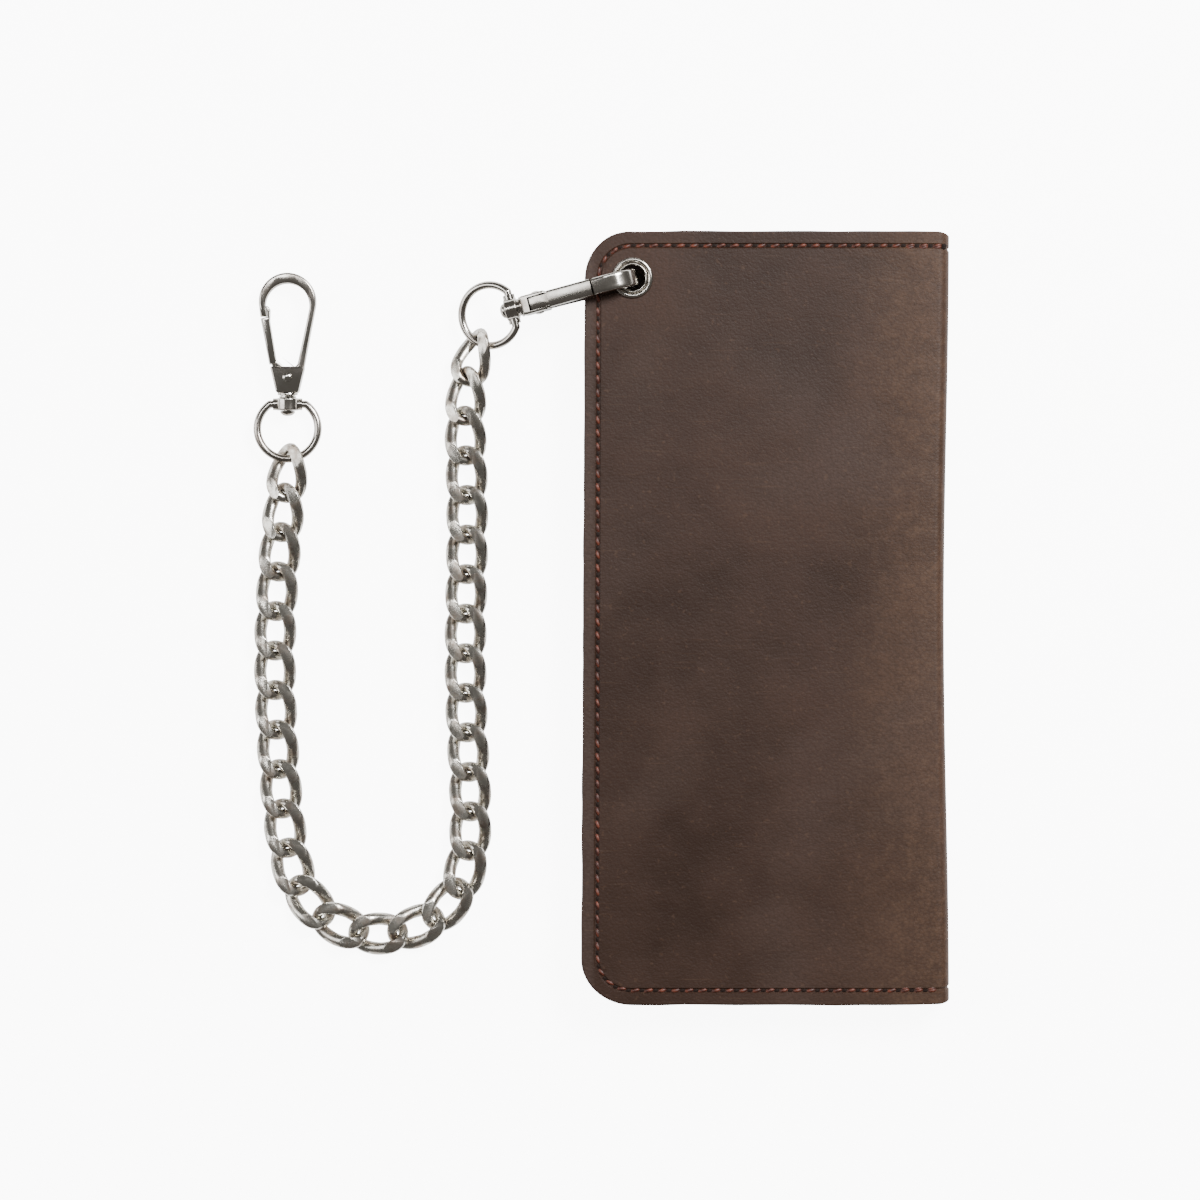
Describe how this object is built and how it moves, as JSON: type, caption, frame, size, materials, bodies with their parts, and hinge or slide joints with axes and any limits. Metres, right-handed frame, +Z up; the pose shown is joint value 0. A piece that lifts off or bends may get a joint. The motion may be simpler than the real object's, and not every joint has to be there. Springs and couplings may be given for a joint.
{
  "type": "chain wallet",
  "caption": "Tall bifold leather wallet with a grommet, a curb chain, and a swivel snap hook at each end of the chain.",
  "frame": {"origin": "middle of the back cover's outer face, on the surface that the closed wallet lies on", "axes": "+X from the open edge to the fold, +Y to the end with the grommet, +Z up through the closed wallet"},
  "size_m": [0.1761, 0.195, 0.02],
  "materials": {
    "outer_leather": "oiled pull-up leather, matt with a soft sheen",
    "lining_leather": "smooth matt",
    "thread": "waxed thread",
    "grommet_nickel": "polished nickel",
    "hook_nickel": "polished nickel plate",
    "aged_nickel": "aged nickel plate, polished facets",
    "spring_steel": "satin"
  },
  "bodies": {
    "back_cover": {"outer_cover_back": "outer_leather", "back_pocket_panel": "lining_leather", "coin_pocket_panel": "lining_leather", "back_stitching": "thread"},
    "spine": {"outer_cover_spine": "outer_leather"},
    "front_cover": {"outer_cover_front": "outer_leather", "front_pocket_panel": "lining_leather", "front_stitching": "thread", "card_slot_1": "lining_leather", "card_slot_2": "lining_leather", "card_slot_3": "lining_leather", "card_slot_4": "lining_leather", "card_slot_stitching": "thread", "grommet_face": "grommet_nickel", "grommet_washer": "grommet_nickel"},
    "wallet_hook": {"wallet_hook_body": "hook_nickel", "wallet_gate_rivet": "hook_nickel", "wallet_gate_spring": "spring_steel", "wallet_swivel_post": "hook_nickel"},
    "wallet_gate": {"wallet_gate": "hook_nickel"},
    "wallet_collar": {"wallet_swivel_collar": "hook_nickel"},
    "wallet_ring": {"wallet_ring": "hook_nickel"},
    "belt_hook": {"belt_hook_body": "hook_nickel", "belt_gate_rivet": "hook_nickel", "belt_gate_spring": "spring_steel", "belt_swivel_post": "hook_nickel"},
    "belt_gate": {"belt_gate": "hook_nickel"},
    "belt_collar": {"belt_swivel_collar": "hook_nickel"},
    "belt_ring": {"belt_ring": "hook_nickel"},
    "link_01": {"chain_link_01": "aged_nickel"},
    "link_02": {"chain_link_02": "aged_nickel"},
    "link_03": {"chain_link_03": "aged_nickel"},
    "link_04": {"chain_link_04": "aged_nickel"},
    "link_05": {"chain_link_05": "aged_nickel"},
    "link_06": {"chain_link_06": "aged_nickel"},
    "link_07": {"chain_link_07": "aged_nickel"},
    "link_08": {"chain_link_08": "aged_nickel"},
    "link_09": {"chain_link_09": "aged_nickel"},
    "link_10": {"chain_link_10": "aged_nickel"},
    "link_11": {"chain_link_11": "aged_nickel"},
    "link_12": {"chain_link_12": "aged_nickel"},
    "link_13": {"chain_link_13": "aged_nickel"},
    "link_14": {"chain_link_14": "aged_nickel"},
    "link_15": {"chain_link_15": "aged_nickel"},
    "link_16": {"chain_link_16": "aged_nickel"},
    "link_17": {"chain_link_17": "aged_nickel"},
    "link_18": {"chain_link_18": "aged_nickel"},
    "link_19": {"chain_link_19": "aged_nickel"},
    "link_20": {"chain_link_20": "aged_nickel"},
    "link_21": {"chain_link_21": "aged_nickel"},
    "link_22": {"chain_link_22": "aged_nickel"},
    "link_23": {"chain_link_23": "aged_nickel"},
    "link_24": {"chain_link_24": "aged_nickel"},
    "link_25": {"chain_link_25": "aged_nickel"},
    "link_26": {"chain_link_26": "aged_nickel"},
    "link_27": {"chain_link_27": "aged_nickel"},
    "link_28": {"chain_link_28": "aged_nickel"},
    "link_29": {"chain_link_29": "aged_nickel"},
    "link_30": {"chain_link_30": "aged_nickel"}
  },
  "joints": [
    {"name": "spine_fold", "type": "hinge", "parent": "back_cover", "child": "spine", "pos_m": [0.0462, 0, 0], "axis": [0, 1, 0], "range_deg": [0, 90]},
    {"name": "cover_fold", "type": "hinge", "parent": "spine", "child": "front_cover", "pos_m": [0.0462, 0, 0.014], "axis": [0, 1, 0], "range_deg": [0, 90]},
    {"name": "wallet_hook_pitch", "type": "hinge", "parent": "front_cover", "child": "wallet_hook", "pos_m": [-0.03912, 0.08434, 0.0128], "axis": [-0.2436, 0.9699, 0], "range_deg": [-4, 16]},
    {"name": "wallet_gate_swing", "type": "hinge", "parent": "wallet_hook", "child": "wallet_gate", "pos_m": [-0.05766, 0.07968, 0.01012], "axis": [-0.2436, 0.9699, 0], "range_deg": [0, 7], "stiffness_Nm_per_rad": 0.01, "springref_deg": -8.59, "deforming": ["wallet_gate_spring"]},
    {"name": "wallet_swivel", "type": "hinge", "parent": "wallet_hook", "child": "wallet_collar", "pos_m": [-0.06419, 0.07804, 0.00917], "axis": [-0.9604, -0.2412, -0.1392], "range_deg": [-360, 0]},
    {"name": "wallet_ring_pivot", "type": "hinge", "parent": "wallet_collar", "child": "wallet_ring", "pos_m": [-0.06419, 0.07804, 0.00917], "axis": [0.2436, -0.9699, 0], "range_deg": [-60, 75]},
    {"name": "chain_swing_01", "type": "hinge", "parent": "wallet_ring", "child": "link_01", "pos_m": [-0.07238, 0.07091, 0.0051], "axis": [0.951, -0.3093, 0], "range_deg": [-10, 10]},
    {"name": "chain_swing_02", "type": "hinge", "parent": "link_01", "child": "link_02", "pos_m": [-0.07549, 0.06135, 0.00415], "axis": [-0.9815, 0.1915, 0], "range_deg": [-12, 8]},
    {"name": "chain_swing_03", "type": "hinge", "parent": "link_02", "child": "link_03", "pos_m": [-0.0762, 0.05133, 0.0035], "axis": [0.9998, -0.0208, 0], "range_deg": [-25, 25]},
    {"name": "chain_swing_04", "type": "hinge", "parent": "link_03", "child": "link_04", "pos_m": [-0.07591, 0.04128, 0.0029], "axis": [-0.9996, -0.0274, 0], "range_deg": [-25, 25]},
    {"name": "chain_swing_05", "type": "hinge", "parent": "link_04", "child": "link_05", "pos_m": [-0.07565, 0.03123, 0.0025], "axis": [0.9999, 0.0144, 0], "range_deg": [-25, 25]},
    {"name": "chain_swing_06", "type": "hinge", "parent": "link_05", "child": "link_06", "pos_m": [-0.07561, 0.02118, 0.0024], "axis": [-1, 0.0061, 0], "range_deg": [-25, 25]},
    {"name": "chain_swing_07", "type": "hinge", "parent": "link_06", "child": "link_07", "pos_m": [-0.07577, 0.01114, 0.0024], "axis": [0.9998, -0.0184, 0], "range_deg": [-25, 25]},
    {"name": "chain_swing_08", "type": "hinge", "parent": "link_07", "child": "link_08", "pos_m": [-0.07598, 0.00109, 0.0024], "axis": [-0.9999, 0.0165, 0], "range_deg": [-25, 25]},
    {"name": "chain_swing_09", "type": "hinge", "parent": "link_08", "child": "link_09", "pos_m": [-0.0761, -0.00896, 0.0024], "axis": [1, -0.0006, 0], "range_deg": [-25, 25]},
    {"name": "chain_swing_10", "type": "hinge", "parent": "link_09", "child": "link_10", "pos_m": [-0.076, -0.01901, 0.0024], "axis": [-0.9997, -0.0227, 0], "range_deg": [-25, 25]},
    {"name": "chain_swing_11", "type": "hinge", "parent": "link_10", "child": "link_11", "pos_m": [-0.07565, -0.02906, 0.0024], "axis": [0.999, 0.0439, 0], "range_deg": [-25, 25]},
    {"name": "chain_swing_12", "type": "hinge", "parent": "link_11", "child": "link_12", "pos_m": [-0.07511, -0.03909, 0.0024], "axis": [-0.9989, -0.0464, 0], "range_deg": [-25, 25]},
    {"name": "chain_swing_13", "type": "hinge", "parent": "link_12", "child": "link_13", "pos_m": [-0.07472, -0.04913, 0.0024], "axis": [1, 0.0056, 0], "range_deg": [-25, 25]},
    {"name": "chain_bend_14", "type": "hinge", "parent": "link_13", "child": "link_14", "pos_m": [-0.075, -0.05918, 0.0024], "axis": [0, 0, 1], "range_deg": [0, 25]},
    {"name": "chain_bend_15", "type": "hinge", "parent": "link_14", "child": "link_15", "pos_m": [-0.07734, -0.06895, 0.0024], "axis": [0, 0, 1], "range_deg": [0, 25]},
    {"name": "chain_bend_16", "type": "hinge", "parent": "link_15", "child": "link_16", "pos_m": [-0.08387, -0.0766, 0.0024], "axis": [0, 0, 1], "range_deg": [0, 25]},
    {"name": "chain_bend_17", "type": "hinge", "parent": "link_16", "child": "link_17", "pos_m": [-0.09322, -0.08028, 0.0024], "axis": [0, 0, 1], "range_deg": [0, 25]},
    {"name": "chain_bend_18", "type": "hinge", "parent": "link_17", "child": "link_18", "pos_m": [-0.10327, -0.08008, 0.0024], "axis": [0, 0, 1], "range_deg": [0, 25]},
    {"name": "chain_bend_19", "type": "hinge", "parent": "link_18", "child": "link_19", "pos_m": [-0.11243, -0.07596, 0.0024], "axis": [0, 0, 1], "range_deg": [0, 25]},
    {"name": "chain_bend_20", "type": "hinge", "parent": "link_19", "child": "link_20", "pos_m": [-0.11871, -0.06811, 0.0024], "axis": [0, 0, 1], "range_deg": [0, 25]},
    {"name": "chain_swing_21", "type": "hinge", "parent": "link_20", "child": "link_21", "pos_m": [-0.12126, -0.05839, 0.0024], "axis": [-0.9819, -0.1894, 0], "range_deg": [-25, 25]},
    {"name": "chain_swing_22", "type": "hinge", "parent": "link_21", "child": "link_22", "pos_m": [-0.1225, -0.04841, 0.0024], "axis": [0.9944, 0.1061, 0], "range_deg": [-25, 25]},
    {"name": "chain_swing_23", "type": "hinge", "parent": "link_22", "child": "link_23", "pos_m": [-0.1234, -0.03841, 0.0024], "axis": [-0.9972, -0.0749, 0], "range_deg": [-25, 25]},
    {"name": "chain_swing_24", "type": "hinge", "parent": "link_23", "child": "link_24", "pos_m": [-0.12401, -0.02837, 0.0024], "axis": [0.9988, 0.0493, 0], "range_deg": [-25, 25]},
    {"name": "chain_swing_25", "type": "hinge", "parent": "link_24", "child": "link_25", "pos_m": [-0.12439, -0.01833, 0.0024], "axis": [-0.9997, -0.0246, 0], "range_deg": [-25, 25]},
    {"name": "chain_swing_26", "type": "hinge", "parent": "link_25", "child": "link_26", "pos_m": [-0.1245, -0.00828, 0.0024], "axis": [1, -0.0073, 0], "range_deg": [-25, 25]},
    {"name": "chain_swing_27", "type": "hinge", "parent": "link_26", "child": "link_27", "pos_m": [-0.12424, 0.00177, 0.0024], "axis": [-0.9991, 0.0435, 0], "range_deg": [-25, 25]},
    {"name": "chain_swing_28", "type": "hinge", "parent": "link_27", "child": "link_28", "pos_m": [-0.12363, 0.0118, 0.0025], "axis": [0.9972, -0.075, 0], "range_deg": [-25, 25]},
    {"name": "chain_swing_29", "type": "hinge", "parent": "link_28", "child": "link_29", "pos_m": [-0.12274, 0.02181, 0.0031], "axis": [-0.9953, 0.097, 0], "range_deg": [-25, 25]},
    {"name": "chain_swing_30", "type": "hinge", "parent": "link_29", "child": "link_30", "pos_m": [-0.12168, 0.0318, 0.00415], "axis": [0.9942, -0.1077, 0], "range_deg": [-12, 12]},
    {"name": "chain_swing_31", "type": "hinge", "parent": "link_30", "child": "belt_ring", "pos_m": [-0.12057, 0.04179, 0.004], "axis": [-0.9939, 0.1104, 0], "range_deg": [-12, 12]},
    {"name": "belt_ring_pivot", "type": "hinge", "parent": "belt_ring", "child": "belt_collar", "pos_m": [-0.1212, 0.05425, 0.0031], "axis": [1, 0, 0], "range_deg": [-60, 60]},
    {"name": "belt_swivel", "type": "hinge", "parent": "belt_collar", "child": "belt_hook", "pos_m": [-0.1212, 0.05425, 0.0031], "axis": [0, 1, 0], "continuous": true},
    {"name": "belt_gate_swing", "type": "hinge", "parent": "belt_hook", "child": "belt_gate", "pos_m": [-0.1212, 0.06105, 0.0031], "axis": [0, 0, -1], "range_deg": [0, 25], "stiffness_Nm_per_rad": 0.01, "springref_deg": -8.59, "deforming": ["belt_gate_spring"]}
  ],
  "couplings": [
    {"joint": "cover_fold", "follows": "spine_fold", "ratio": 1}
  ]
}
